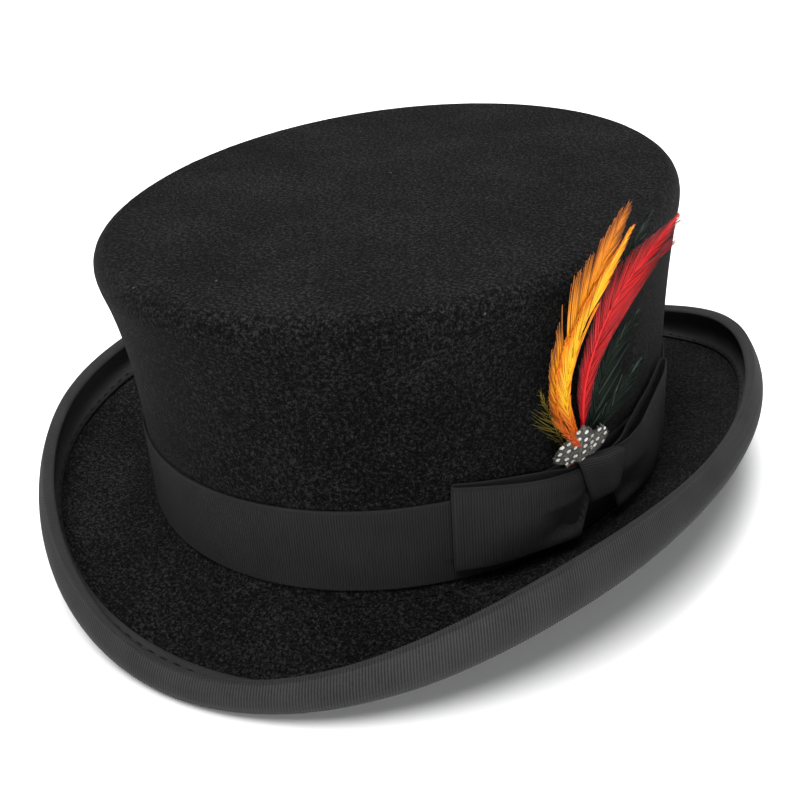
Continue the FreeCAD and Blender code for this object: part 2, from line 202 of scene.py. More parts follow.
outer_faces, inner_faces = [], []
felt_points, felt_triangles = cad_mesh("felt_body")
for phi in PHI:
    outer, inner = felt_half_section(felt_points, felt_triangles, phi)
    outer_faces.append(split_face(outer, FELT_TOP))
    inner_faces.append(split_face(inner, inner[:, 1].max()))

# One height for each mm of the wall, so that a height is also an index
HEIGHTS = np.arange(0.0, FELT_TOP - 1.0, 1.0)


def wall_table(faces):
    """The wall's distance from the axis: one row for each section, one column for each height."""
    rows = []
    for tip, wall, brim in faces:
        line = np.concatenate([wall, brim[1:4]])[::-1]
        keep = np.concatenate([[True], np.diff(line[:, 1]) > 0.01])
        rows.append(np.interp(HEIGHTS, line[keep, 1], line[keep, 0]))
    return np.array(rows)


OUTER_WALL = wall_table(outer_faces)
INNER_WALL = wall_table(inner_faces)


def around(table, phi):
    """Rows of a table (one row for each section) blended at any angles."""
    at = (np.asarray(phi) - PHI[0]) / (FULL_TURN / SECTIONS)
    low = np.floor(at).astype(int)
    share = (at - low).reshape(at.shape + (1,) * (table.ndim - 1))
    return table[low % SECTIONS] * (1 - share) + table[(low + 1) % SECTIONS] * share


def wall_rho(phi, z, table=OUTER_WALL):
    """Distance of the crown's wall from the axis; phi and z are arrays of one shape."""
    phi, z = np.broadcast_arrays(np.asarray(phi, float), np.asarray(z, float))
    rows = around(table, phi.ravel())
    at = np.clip(z.ravel(), 0, len(HEIGHTS) - 1.001)
    low = at.astype(int)
    share = at - low
    i = np.arange(len(low))
    return (rows[i, low] * (1 - share) + rows[i, low + 1] * share).reshape(phi.shape)


def polar(phi, rho, z):
    """Points from an angle, a distance from the axis and a height."""
    return stack(rho * np.cos(phi), rho * np.sin(phi), z)


# Distances in from the brim's edge, for trims that follow its faces
LEG_STEP = 0.5
LEG = np.arange(0, 24.5, LEG_STEP)


def leg_table(faces):
    """Points on the brim at steps of distance from its edge, and the way out of the felt."""
    places, normals = [], []
    for tip, wall, brim in faces:
        line = brim[::-1]
        length = run_along(line)
        place = np.stack([np.interp(LEG, length, line[:, i]) for i in (0, 1)], 1)
        along = unit(np.gradient(place, axis=0))
        places.append(place)
        normals.append(np.stack([-along[:, 1], along[:, 0]], 1))
    return np.array(places), np.array(normals)


UPPER_LEG, upper_normals = leg_table(outer_faces)
LOWER_LEG, lower_normals = leg_table(inner_faces)
towards_upper = UPPER_LEG - LOWER_LEG
UPPER_OUT = upper_normals * np.sign((upper_normals * towards_upper).sum(-1, keepdims=True))
LOWER_OUT = -lower_normals * np.sign((lower_normals * towards_upper).sum(-1, keepdims=True))

# --- mesh helpers


def give(piece, material):
    piece.data.materials.clear()
    piece.data.materials.append(material)


def add(name, shape, material, node=None, body="hat", **attributes):
    """One piece from (points in mm, faces) in place of a CAD node.

    The attributes are one vector for each point.
    """
    points, faces = shape
    mesh = bpy.data.meshes.new(name)
    points = points.reshape(-1, 3) * MM
    mesh.from_pydata(points.tolist(), [], [list(map(int, face)) for face in faces])
    mesh.validate()
    for key, values in attributes.items():
        layer = mesh.attributes.new(key, "FLOAT_VECTOR", "POINT")
        layer.data.foreach_set("vector", values.astype(np.float32).ravel())
    mesh.shade_smooth()
    piece = bpy.data.objects.new(name, mesh)
    bpy.context.scene.collection.objects.link(piece)
    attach(piece, body)
    if node:
        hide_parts(node)
    give(piece, material)


def grid_faces(rows, columns, wrap, start=0, flip=False):
    """Quads over a grid of points, whose numbers begin at start."""
    steps = columns if wrap else columns - 1
    i, j = np.meshgrid(np.arange(rows - 1), np.arange(steps), indexing="ij")
    k = (j + 1) % columns
    row, above = i * columns, (i + 1) * columns
    quads = np.stack([row + j, row + k, above + k, above + j], -1).reshape(-1, 4) + start
    return quads[:, ::-1] if flip else quads


def sheet_mesh(front, back, wrap=False, flip=False):
    """Points and faces of a closed sheet between two grids.

    wrap joins the last column to the first.
    """
    rows, columns = front.shape[:2]
    size = rows * columns
    points = np.concatenate([front.reshape(-1, 3), back.reshape(-1, 3)])
    faces = [grid_faces(rows, columns, wrap), grid_faces(rows, columns, wrap, size, True)]
    borders = [np.arange(columns), np.arange(columns)[::-1] + (rows - 1) * columns]
    if wrap:
        borders = [np.append(b, b[0]) for b in borders]
    else:
        borders.append(np.arange(rows)[::-1] * columns)
        borders.append(np.arange(rows) * columns + columns - 1)
    for border in borders:
        a, b = border[:-1], border[1:]
        faces.append(np.stack([b, a, a + size, b + size], 1))
    faces = np.concatenate(faces)
    return points, faces[:, ::-1] if flip else faces


def tube_mesh(centres, radii, sides=8):
    """Points and faces of a closed round tube along a curve."""
    ahead = unit(np.gradient(centres, axis=0))
    lies_flat = abs(ahead[:, 2]).mean() < 0.8
    helper = np.array([0.0, 0.0, 1.0]) if lies_flat else np.array([1.0, 0.0, 0.0])
    one = unit(np.cross(ahead, helper))
    two = np.cross(ahead, one)
    turn = turns(sides)[None, :, None]
    offset = one[:, None] * np.cos(turn) + two[:, None] * np.sin(turn)
    points = centres[:, None] + offset * np.broadcast_to(radii, len(centres))[:, None, None]
    faces = grid_faces(len(centres), sides, True).tolist()
    faces.append(list(range(sides)))
    faces.append([(len(centres) - 1) * sides + i for i in reversed(range(sides))])
    return points.reshape(-1, 3), faces


def join(parts):
    """Several (points, faces) as one."""
    points, faces, start = [], [], 0
    for some_points, some_faces in parts:
        points.append(some_points)
        faces += [[int(i) + start for i in face] for face in some_faces]
        start += len(some_points)
    return np.concatenate(points), faces


def grid_normals(grid, wrap=False):
    """Unit normals at the points of a grid."""
    if wrap:
        wide = np.concatenate([grid[:, -1:], grid, grid[:, :1]], 1)
        across = wide[:, 2:] - wide[:, :-2]
    else:
        across = np.gradient(grid, axis=1)
    return unit(np.cross(np.gradient(grid, axis=0), across))


def ease(value, low, high):
    """A smooth rise from 0 at low to 1 at high."""
    share = np.clip((value - low) / (high - low), 0, 1)
    return share * share * (3 - 2 * share)


# --- material helpers


class Look:
    """A node material around one Principled shader."""

    def __init__(self, name, **settings):
        self.material = bpy.data.materials.new(name)
        self.material.use_nodes = True
        self.tree = self.material.node_tree
        self.shader = self.tree.nodes["Principled BSDF"]
        for key, value in settings.items():
            self.shader.inputs[key.replace("_", " ")].default_value = value

    def node(self, kind, inputs=None, **settings):
        node = self.tree.nodes.new("ShaderNode" + kind)
        for key, value in settings.items():
            setattr(node, key, value)
        for key, value in (inputs or {}).items():
            self.feed(node.inputs[key], value)
        return node

    def feed(self, socket, value):
        if isinstance(value, bpy.types.NodeSocket):
            self.tree.links.new(value, socket)
        else:
            socket.default_value = value

    def place(self):
        return self.node("TexCoord").outputs["Object"]

    def attribute(self, name):
        return self.node("Attribute", attribute_name=name).outputs["Vector"]

    def split(self, vector):
        return self.node("SeparateXYZ", {"Vector": vector}).outputs

    def noise(self, size_mm, detail=3.0, roughness=0.6):
        inputs = {"Vector": self.place(), "Scale": 1 / (size_mm * MM), "Detail": detail}
        inputs["Roughness"] = roughness
        return self.node("TexNoise", inputs).outputs["Fac"]

    def wave(self, direction, scale, distortion=0.0, vector=None):
        inputs = {"Vector": vector or self.place(), "Scale": scale, "Distortion": distortion}
        return self.node("TexWave", inputs, wave_type="BANDS", bands_direction=direction).outputs["Fac"]

    def cells(self, scale, vector=None, randomness=1.0, **settings):
        inputs = {"Vector": vector or self.place(), "Scale": scale, "Randomness": randomness}
        return self.node("TexVoronoi", inputs, **settings).outputs["Distance"]

    def math(self, operation, a, b):
        node = self.node("Math", operation=operation)
        self.feed(node.inputs[0], a)
        self.feed(node.inputs[1], b)
        return node.outputs[0]

    def plus(self, a, b, share, middle=0.0):
        """a plus a share of b, where b is first measured from its middle."""
        if middle:
            b = self.math("SUBTRACT", b, middle)
        return self.math("ADD", a, self.math("MULTIPLY", b, share))

    def ramp(self, factor, *stops):
        node = self.node("ValToRGB", {"Fac": factor})
        elements = node.color_ramp.elements
        while len(elements) < len(stops):
            elements.new(0.5)
        for element, (position, colour) in zip(elements, stops):
            element.position = position
            element.color = tuple(colour) + (1.0,)
        return node.outputs["Color"]

    def greys(self, factor, *stops):
        return self.ramp(factor, *[(position, grey(value)) for position, value in stops])

    def mix(self, factor, a, b):
        node = self.node("Mix", data_type="RGBA")
        for index, value in ((0, factor), (6, a), (7, b)):
            self.feed(node.inputs[index], value + (1.0,) if isinstance(value, tuple) else value)
        return node.outputs[2]

    def bump(self, height, depth_mm, strength=1.0, after=None):
        inputs = {"Height": height, "Distance": depth_mm * MM, "Strength": strength}
        if after:
            inputs["Normal"] = after
        return self.node("Bump", inputs).outputs["Normal"]

    def finish(self, colour=None, normal=None, roughness=None):
        for key, value in (("Base Color", colour), ("Normal", normal), ("Roughness", roughness)):
            if value is not None:
                self.feed(self.shader.inputs[key], value)
        return self.material


def grey(value):
    return (value, value, value)


def felt_material():
    """Matted black wool: soft speckle, a short nap and a few specks of lint."""
    look = Look("black_wool_felt", Sheen_Weight=0.018, Sheen_Roughness=0.4, Specular_IOR_Level=0.05)
    grain = look.noise(1.05, 3, 0.75)
    fibre = look.noise(0.45, 2, 0.6)
    cloud = look.noise(30, 3, 0.6)
    fine = look.plus(look.math("MULTIPLY", grain, 0.65), fibre, 0.35)
    fine = look.plus(fine, cloud, 0.12, middle=0.5)
    colour = look.greys(fine, (0.42, 0.0006), (0.52, 0.0045), (0.62, 0.020))
    lint = look.greys(look.cells(70.0), (0.018, 1.0), (0.030, 0.0))
    colour = look.mix(lint, colour, grey(0.06))
    normal = look.bump(grain, 0.55, 0.9)
    normal = look.bump(fibre, 0.25, 0.7, normal)
    return look.finish(colour, normal, look.greys(fibre, (0.3, 0.85), (0.7, 1.0)))


def ribbon_material(name, dark, light, roughness=0.6):
    """Grosgrain: the ribs are in the mesh, with painted shade in the grooves between them, and fine yarns
    cross them.
    """
    look = Look(name, Sheen_Weight=0.02, Sheen_Roughness=0.4, Specular_IOR_Level=0.15)
    sheet = look.attribute("sheet")
    rib = look.split(sheet)["Z"]
    yarn = look.wave("Y", 2.2, 0.6, sheet)
    uneven = look.noise(0.9, 4, 0.7)
    # Low rib height makes the colour darker: painted shade between the ribs, mixed with random unevenness
    # and yarn bands
    tone_and_groove_shade = look.plus(look.math("MULTIPLY", rib, 0.55), uneven, 0.6)
    tone_and_groove_shade = look.plus(tone_and_groove_shade, yarn, 0.08)
    tone_and_groove_shade = look.plus(tone_and_groove_shade, look.noise(14, 2, 0.5), 0.3, middle=0.5)
    colour = look.greys(tone_and_groove_shade, (0.25, dark), (0.95, light))
    normal = look.bump(yarn, 0.06, 0.7)
    normal = look.bump(uneven, 0.10, 0.7, normal)
    return look.finish(colour, normal, look.greys(uneven, (0.3, roughness - 0.1), (0.7, roughness + 0.15)))


def thread_material(name, colour):
    """Twisted thread, with painted shade between the twists at half brightness."""
    look = Look(name, Sheen_Weight=0.02, Roughness=0.7, Specular_IOR_Level=0.1)
    twist = look.wave("DIAGONAL", 900.0, 1.5)
    # Painted shade: the grooves between the twists are half as bright
    shade = look.ramp(twist, (0.2, tuple(c * 0.5 for c in colour)), (0.8, colour))
    return look.finish(shade, look.bump(twist, 0.1, 0.8))


def leather_material():
    """Dark brown leather with pores and faint stains."""
    look = Look("sweatband_leather", Specular_IOR_Level=0.45)
    stain = look.noise(18, 4, 0.6)
    colour = look.ramp(stain, (0.3, (0.016, 0.011, 0.008)), (0.75, (0.045, 0.028, 0.019)))
    pores = look.greys(look.cells(900.0, feature="DISTANCE_TO_EDGE"), (0.0, 0.0), (0.12, 1.0))
    normal = look.bump(pores, 0.12, 0.5)
    return look.finish(colour, normal, look.greys(look.noise(4, 3), (0.3, 0.38), (0.7, 0.6)))


def satin_material(name, dark, light):
    """Satin with a fine weave and soft clouds."""
    look = Look(name, Anisotropic=0.6, Sheen_Weight=0.2, Specular_IOR_Level=0.6)
    soft = look.noise(12, 3, 0.6)
    colour = look.ramp(soft, (0.3, dark), (0.7, light))
    normal = look.bump(look.wave("Z", 1500.0, 0.4), 0.03, 0.4)
    return look.finish(colour, normal, look.greys(soft, (0.3, 0.28), (0.7, 0.42)))


def label_material():
    """Pale woven cloth without any marks."""
    look = Look("blank_woven_label", Roughness=0.7, Sheen_Weight=0.2)
    weave = look.wave("X", 1300.0)
    colour = look.ramp(weave, (0.2, (0.33, 0.32, 0.29)), (0.8, (0.55, 0.53, 0.48)))
    return look.finish(colour, look.bump(weave, 0.05, 0.6))


def reed_material():
    """Dull yellowish plastic."""
    look = Look("plastic_reed", Roughness=0.4)
    cloud = look.noise(6, 3)
    return look.finish(look.ramp(cloud, (0.3, (0.30, 0.28, 0.22)), (0.7, (0.42, 0.40, 0.33))))


def feather_material(name, stops, edge, dark=0.5, gloss=0.3, edge_from=0.35, streak=None):
    """Colour runs along the feather (stops) and turns to the edge colour away from the quill.

    dark is how much the darkest barbs are darkened; streak is the colour of a few odd barbs.
    """
    look = Look(name, Specular_IOR_Level=gloss, Roughness=0.5, Sheen_Weight=0.0)
    along, out, chance = look.split(look.attribute("vane"))
    colour = look.ramp(along, *stops)
    away = look.plus(out, chance, 0.4, middle=0.5)
    colour = look.mix(look.greys(away, (edge_from, 0.0), (0.95, 1.0)), colour, edge)
    shade = look.math("MULTIPLY", look.greys(chance, (0.6, 0.0), (1.0, 1.0)), dark)
    colour = look.mix(shade, colour, tuple(0.25 * value for value in edge))
    if streak:
        colour = look.mix(look.greys(chance, (0.0, 1.0), (0.12, 0.0)), colour, streak)
    return look.finish(colour, look.bump(look.noise(0.25, 2), 0.04, 0.5))


def guinea_material():
    """Grey barbs with rows of pale round spots, each in a dark ring."""
    look = Look("guinea_fowl_feather", Sheen_Weight=0.2, Roughness=0.6)
    cells = look.cells(0.36, look.attribute("sheet"), 0.45, voronoi_dimensions="2D")
    base = look.ramp(look.noise(0.6, 3), (0.3, (0.014, 0.013, 0.009)), (0.7, (0.11, 0.10, 0.075)))
    colour = look.mix(look.greys(cells, (0.36, 1.0), (0.5, 0.0)), base, grey(0.006))
    colour = look.mix(look.greys(cells, (0.20, 1.0), (0.27, 0.0)), colour, (0.75, 0.73, 0.68))
    return look.finish(colour, look.bump(look.noise(0.3, 2), 0.06, 0.6))


FELT = felt_material()
BAND_RIBBON = ribbon_material("band_grosgrain", 0.0015, 0.020)
BOW_RIBBON = ribbon_material("bow_grosgrain", 0.0015, 0.023)
BINDING_RIBBON = ribbon_material("binding_grosgrain", 0.002, 0.036, 0.55)
THREAD = thread_material("black_thread", (0.007, 0.007, 0.0075))
LEATHER = leather_material()
SATIN = satin_material("black_satin_lining", (0.008, 0.008, 0.010), (0.022, 0.022, 0.028))

# --- felt body
# Unevenness of the hand-blocked felt in mm, growing between two rows of the grid
FELT_WOBBLE = 0.35
WOBBLE_ROWS = (12, 30)


def wobble(phi, height, size):
    """A slow unevenness, in long waves around and up the crown."""
    waves = np.sin(3 * phi + 0.7) * np.cos(height / 31) + np.sin(5 * phi + 2.1) * np.sin(height / 23 + 1)
    return size * 0.5 * waves


def face_grid(faces):
    """The felt's outer or inner face as a grid: rows from the tip to the brim's edge."""
    lines = np.array([np.concatenate([tip, wall[1:], brim[1:]]) for tip, wall, brim in faces])
    lines = lines.transpose(1, 0, 2)
    return polar(PHI[None], lines[..., 0], lines[..., 1])


def felt_body():
    """The felt's two faces, joined along the brim's edge and closed at the tip."""
    front = face_grid(outer_faces)
    back = face_grid(inner_faces)
    row = np.arange(len(front))[:, None]
    uneven = wobble(PHI[None], row * 2.0, FELT_WOBBLE) * ease(row, *WOBBLE_ROWS)
    normal = grid_normals(front, True)
    normal *= np.sign((normal * (front - back)).sum(-1, keepdims=True))
    front = front + normal * uneven[..., None]
    back = back + normal * uneven[..., None]
    rows, columns = front.shape[:2]
    size = rows * columns
    points = np.concatenate([front.reshape(-1, 3), back.reshape(-1, 3)])
    faces = grid_faces(rows, columns, True, 0, True).tolist()
    faces += grid_faces(rows, columns, True, size).tolist()
    last = (rows - 1) * columns
    for j in range(columns):
        k = (j + 1) % columns
        faces.append([last + j, last + k, last + k + size, last + j + size])
    faces.append(list(range(columns)))
    faces.append([size + j for j in reversed(range(columns))])
    add("felt_crown_and_brim", (points, faces), FELT, "felt_body")


felt_body()

# --- ribbons
# Distance between ribs and their height, in mm
RIB = 0.8
RIB_DEPTH = 0.22


def rib_angles(radius, steps):
    """Angles around a ribbon with this many for each rib, and the rib's height at each."""
    ribs = int(round(FULL_TURN * radius / RIB))
    count = ribs * steps
    return turns(count), np.abs(np.sin(np.arange(count) * math.pi / steps))


def ribbon(name, node, front, back, weave, material, wrap, flip):
    """A ribbon between two grids; weave is the run, the place across and the rib's height."""
    sheet = stack(*weave).reshape(-1, 3)
    add(name, sheet_mesh(front, back, wrap, flip), material, node, sheet=np.concatenate([sheet, sheet]))


# --- band and binding
BAND_RADIUS = 96
BAND_STEPS = 3
# The band hangs this much lower than in the CAD, down to the brim
BAND_DROP = 1.0
BAND_GAP = 0.2
BAND_THICK = 0.75
# The smooth woven edge: its width and its height over the band's ground
WOVEN_EDGE = 1.0
WOVEN_HEIGHT = 0.35 * RIB_DEPTH + 0.06

BINDING_RADIUS = 128
BINDING_STEPS = 2
BINDING_LIFT = 0.2
BINDING_THICK = 0.5
# How far each leg of the binding reaches in from the brim's edge
BINDING_REACH = 14.5
BINDING_WIDTH = 31
LEG_ROWS = np.linspace(0.4, BINDING_REACH, 8)


def hat_band():
    """A flat band around the foot of the crown, with smooth woven edges."""
    low, high = cad_box("hat_band")
    low, high = low[2] - BAND_DROP, high[2]
    phi, rib = rib_angles(BAND_RADIUS, BAND_STEPS)
    edge_rows = np.array([0, 0.25, 0.9, 1.1])
    heights = np.r_[high - edge_rows, np.linspace(low + 2, high - 2, 9)[::-1], (low + edge_rows)[::-1]]
    edge = np.minimum(heights - low, high - heights)
    depth = np.where((edge < WOVEN_EDGE)[:, None], WOVEN_HEIGHT, RIB_DEPTH * rib[None])
    depth = depth * ease(edge, -0.3, 0.3)[:, None]
    z = heights[:, None] + 0.12 * np.sin(phi * 2 + 1)[None]
    wall = wall_rho(phi[None], z)
    front = polar(phi[None], wall + BAND_THICK + depth, z)
    back = polar(phi[None], wall + BAND_GAP, z)
    weave = (phi[None] * BAND_RADIUS, z, depth / RIB_DEPTH)
    ribbon("hat_band_ribbon", "hat_band", front, back, weave, BAND_RIBBON, True, True)


def leg_points(phi, distance, lift, places, outwards):
    """Points over one face of the brim, this far from its edge and this high off the felt."""
    index = distance / LEG_STEP
    low = int(index)
    share = index - low
    place = around(places[:, low] * (1 - share) + places[:, low + 1] * share, phi)
    out = around(outwards[:, low] * (1 - share) + outwards[:, low + 1] * share, phi)
    return place + out * np.asarray(lift)[..., None]


def binding_line(phi, lift):
    """Rows of (rho, z) from the upper leg's free edge, over the brim's edge, to the lower leg's."""
    rows = [leg_points(phi, distance, lift, UPPER_LEG, UPPER_OUT) for distance in LEG_ROWS[::-1]]
    top = leg_points(phi, 0.0, 0 * lift, UPPER_LEG, UPPER_OUT)
    low = leg_points(phi, 0.0, 0 * lift, LOWER_LEG, LOWER_OUT)
    middle = (top + low) / 2
    up = top - low
    half = np.linalg.norm(up, axis=-1, keepdims=True) / 2
    up = up / (2 * half)
    inwards = leg_points(phi, 2.0, 0 * lift, UPPER_LEG, UPPER_OUT) - top
    ahead = np.stack([up[:, 1], -up[:, 0]], -1)
    ahead *= -np.sign((ahead * inwards).sum(-1, keepdims=True))
    for turn in np.linspace(0.12, math.pi - 0.12, 6):
        across = (half + lift[:, None]) * math.cos(turn)
        forward = (lift[:, None] + 0.2) * math.sin(turn) ** 0.7
        rows.append(middle + up * across + ahead * forward)
    rows += [leg_points(phi, distance, lift, LOWER_LEG, LOWER_OUT) for distance in LEG_ROWS]
    return np.array(rows)


def brim_binding():
    """Ribbon folded over the brim's edge."""
    phi, rib = rib_angles(BINDING_RADIUS, BINDING_STEPS)
    outer = binding_line(phi, BINDING_LIFT + BINDING_THICK + RIB_DEPTH * rib)
    inner = binding_line(phi, np.full(len(phi), BINDING_LIFT))
    front, back = (polar(phi[None], line[..., 0], line[..., 1]) for line in (outer, inner))
    across = np.linspace(0, BINDING_WIDTH, len(front))[:, None]
    weave = (phi[None] * BINDING_RADIUS, across, rib[None])
    ribbon("brim_binding_ribbon", "brim_binding", front, back, weave, BINDING_RIBBON, True, True)


hat_band()
brim_binding()

# --- stitches
# The thread runs on past its ends by this share of a stitch, down into the cloth
THREAD_RUN_ON = 0.12
# The step of LEG where the binding's stitches sit
STITCH_STEP = 26


def stitches(name, node, out_of, radius=0.2, rise=0.1, sink=0.4):
    """Each CAD thread as a bowed thread whose ends dip into the cloth."""
    parts = []
    for points, _ in cad_parts(node):
        centre = points.mean(0)
        far = points[np.argmax(np.linalg.norm(points - centre, axis=1))] - centre
        reach = (points - centre) @ unit(far)
        at_ends = np.abs(reach) > np.abs(reach).max() * 0.8
        start = points[at_ends & (reach < 0)].mean(0)
        end = points[at_ends & (reach > 0)].mean(0)
        share = np.linspace(-THREAD_RUN_ON, 1 + THREAD_RUN_ON, 9)[:, None]
        bow = np.sin(np.clip(share, 0, 1) * math.pi)
        line = start * (1 - share) + end * share + out_of(centre) * (bow * (rise + sink) - sink)
        parts.append(tube_mesh(line, radius, 6))
    add(name, join(parts), THREAD, node)


def upwards(_):
    return np.array([0.0, 0.0, 1.0])


def sideways(centre):
    return np.array([centre[0], centre[1], 0.0]) / math.hypot(centre[0], centre[1])


def into_curl(centre):
    """Out of the brim's upper face, where it turns up and over at its edge."""
    phi = math.atan2(centre[1], centre[0])
    out = around(UPPER_OUT[:, STITCH_STEP], np.array([phi]))[0]
    return np.array([out[0] * math.cos(phi), out[0] * math.sin(phi), out[1]])


stitches("sweatband_stitch_row", "sweatband_stitches", upwards)
stitches("binding_stitch_row", "binding_stitches", into_curl)
stitches("bow_tack_threads", "bow_tack_stitches", sideways, 0.13, 0.05)

# --- bow
knot_low, knot_high = cad_box("bow_knot")
BOW_PHI = math.atan2((knot_low[1] + knot_high[1]) / 2, (knot_low[0] + knot_high[0]) / 2)
KNOT_BOTTOM, KNOT_TOP = knot_low[2], knot_high[2]
wing_low, wing_high = cad_box("bow_front_wing")
WING_BOTTOM, WING_TOP = wing_low[2], wing_high[2]
# The crown's radius on the bow's side, and the height above which the bow stands straight up
SIDE_RADIUS = 92.0
BOW_WALL_TOP = 30
# Radius of the fold at a wing's free end, and the least distance from the felt
FOLD = 1.0
LEAST_LIFT = 1.15
WING_ROWS = 440
# How far off the felt the knot's back and front are, and how square its section is
KNOT_BACK, KNOT_FRONT = 4.3, 8.0
KNOT_POWER = 0.45
KNOT_STEPS = 190
KNOT_HALF_WIDTH = 8


def beside_bow(along, lift, z):
    """Points along the crown from the knot; positive is towards the back of the hat."""
    along, lift, z = np.broadcast_arrays(along, lift, z)
    phi = BOW_PHI + along / SIDE_RADIUS
    return polar(phi, wall_rho(phi, np.minimum(z, BOW_WALL_TOP)) + lift, z)


def facing_out(normal, sample):
    """The normals, turned so that the sample of them points away from the crown."""
    outside = np.array([math.cos(BOW_PHI), math.sin(BOW_PHI), 0])
    return normal if (sample @ outside).mean() > 0 else -normal


def wing_reach(node):
    """How far a wing reaches along the side from the knot."""
    points, _ = cad_mesh(node)
    phi = np.arctan2(points[:, 1], points[:, 0])
    return np.abs(phi - BOW_PHI).max() * SIDE_RADIUS + 0.3


def wing_path(reach):
    """The loop from above, as (along, lift): out from the knot, around the fold and back."""
    front = [(2.0, 5.9), (7.0, 6.3), (12.0, 6.9), (20.0, 6.6), (30.0, 5.6), (40.0, 4.5)]
    front.append((reach - FOLD - 0.6, 3.5))
    fold = [(reach - FOLD + FOLD * math.cos(turn), 2.5 + FOLD * math.sin(turn))
            for turn in np.linspace(math.pi / 2, -math.pi / 2, 9)]
    back = [(reach - 12, 1.6), (28.0, 1.9), (18.0, 3.2), (11.0, 5.0), (6.5, 5.1), (2.0, 5.1)]
    return resample(np.array(front + fold + back), WING_ROWS, 12)


def bow_wing(name, node, direction, phase, rise):
    """A ribbon loop, flat at its free end and pleated towards the knot."""
    reach = wing_reach(node)
    path = wing_path(reach)
    length = run_along(path)
    fold_at = np.argmax(path[:, 0])
    is_front = 1 - ease(np.arange(len(path)), fold_at - 30, fold_at - 5)
    v = np.r_[0, 0.012, np.linspace(0.03, 0.97, 28), 0.988, 1][None]
    along = path[:, 0][:, None]
    open_share = ease(along, 4.5, 9.5)
    bottom = (KNOT_BOTTOM + 2.0) * (1 - open_share) + WING_BOTTOM * open_share
    straight = np.clip((along - 6.5) / (reach - 6.5), 0, 1)
    top = (KNOT_TOP - 1.6) + (WING_TOP + rise - KNOT_TOP + 1.6) * straight
    z = bottom + (top - bottom) * v + 0.25 * np.sin(along / 7 + phase) * (v - 0.5)
    gather = np.exp(-np.maximum(along - 6, 0) / 8.0)
    pleats = gather * 0.6 * np.cos(FULL_TURN * (2.1 * v + phase))
    crease = -3.4 * ease(v, 0.05, 0.22) * (1 - ease(v, 0.50, 0.56))
    crease = crease * (1 - ease(along, 11, 25)) * ease(along, 4, 8)
    belly = 0.9 * np.sin(np.clip(v, 0, 1) * math.pi) * ease(along, 6, 16) * (1 - ease(along, 34, 47))
    sag = 0.35 * np.sin(along / 5.1 + 3 * v + phase * 3)
    lift = path[:, 1][:, None] + is_front[:, None] * (pleats + crease + belly + sag)
    middle = beside_bow(direction * along, np.maximum(lift, LEAST_LIFT), z)
    normal = grid_normals(middle)
    # Row 40 is on the loop's front
    normal = facing_out(normal, normal[40])
    rib = np.abs(np.sin(length * math.pi / RIB))[:, None]
    edge = np.minimum(v, 1 - v) * (top - bottom)
    depth = np.where(edge < 0.9, 0.4 * RIB_DEPTH, RIB_DEPTH * rib)
    front = middle + normal * (0.22 + depth)[..., None]
    back = middle - normal * 0.2
    weave = (length[:, None], z, depth / RIB_DEPTH)
    ribbon(name, node, front, back, weave, BOW_RIBBON, False, direction > 0)


def knot_loop():
    """The knot's section, as (lift, z): a rounded box."""
    turn = np.linspace(0, FULL_TURN, KNOT_STEPS, endpoint=False)
    middle = np.array([KNOT_BACK + KNOT_FRONT, KNOT_BOTTOM + KNOT_TOP]) / 2
    half = np.array([KNOT_FRONT - KNOT_BACK, KNOT_TOP - KNOT_BOTTOM]) / 2
    circle = stack(np.cos(turn), np.sin(turn))
    loop = middle + half * np.sign(circle) * np.abs(circle) ** KNOT_POWER
    loop = resample(np.concatenate([loop, loop[:1]]), KNOT_STEPS + 10)[:-1]
    for _ in range(4):
        loop = 0.25 * np.roll(loop, 1, 0) + 0.5 * loop + 0.25 * np.roll(loop, -1, 0)
    return loop


def bow_knot():
    """Ribbon wrapped up and over the pinched middle, wider at the top."""
    loop = knot_loop()
    length = np.cumsum(np.linalg.norm(loop - np.roll(loop, 1, 0), axis=1))
    across = np.r_[-1, -0.985, np.linspace(-0.96, 0.96, 24), 0.985, 1][:, None]
    lift, z = loop[:, 0][None], loop[:, 1][None]
    up = (z - KNOT_BOTTOM) / (KNOT_TOP - KNOT_BOTTOM)
    half = 6.5 + 3.7 * up
    in_front = ease(lift, 5.0, 6.5)
    bulge = 0.6 * (1 - across ** 2) * in_front
    soft_fold = 0.2 * np.sin(across * 5.0 + up * 2.0) * in_front
    centre = 0.95 - 1.75 * up
    tilt = -(0.4 + 2.0 * up) * across
    middle = beside_bow(across * half + centre, lift + bulge + soft_fold, z + tilt)
    normal = grid_normals(middle, True)
    # Column 0 is at the middle of the knot's front
    normal = facing_out(normal, normal[:, 0])
    whole_rib = length[-1] / round(length[-1] / RIB)
    rib = np.abs(np.sin(length * math.pi / whole_rib))[None]
    edge = (1 - np.abs(across)) * KNOT_HALF_WIDTH
    depth = np.where(edge < 0.8, 0.4 * RIB_DEPTH, RIB_DEPTH * rib)
    front = middle + normal * (0.15 + depth)[..., None]
    back = middle - normal * 0.2
    weave = (length[None], across * KNOT_HALF_WIDTH, depth / RIB_DEPTH)
    ribbon("bow_knot_ribbon", "bow_knot", front, back, weave, BOW_RIBBON, True, False)


bow_wing("bow_front_loop", "bow_front_wing", -1, 0.15, 0.6)
bow_wing("bow_rear_loop", "bow_rear_wing", 1, 0.6, 3.5)
bow_knot()

# --- inside of the crown
SWEATBAND_Z = [corner[2] for corner in cad_box("sweatband")]
LINING_Z = [corner[2] for corner in cad_box("lining_side")]
# The lining starts behind the sweatband, this far above its CAD foot
LINING_TUCK = 26
TIP_INSET = 1.9
TIP_COLUMNS = 360
CORD_RADIUS = 0.75
CORD_SIDES = 8


def inside_layer(name, node, lift, thickness, heights, material, shape, columns):
    """A layer inside the crown; shape(phi, z) adds to its distance from the felt."""
    phi = turns(columns)[None]
    z = heights[:, None] + 0 * phi
    wall = wall_rho(phi, z, INNER_WALL) - lift - shape(phi, z)
    add(name, sheet_mesh(polar(phi, wall - thickness, z), polar(phi, wall, z), True), material, node)


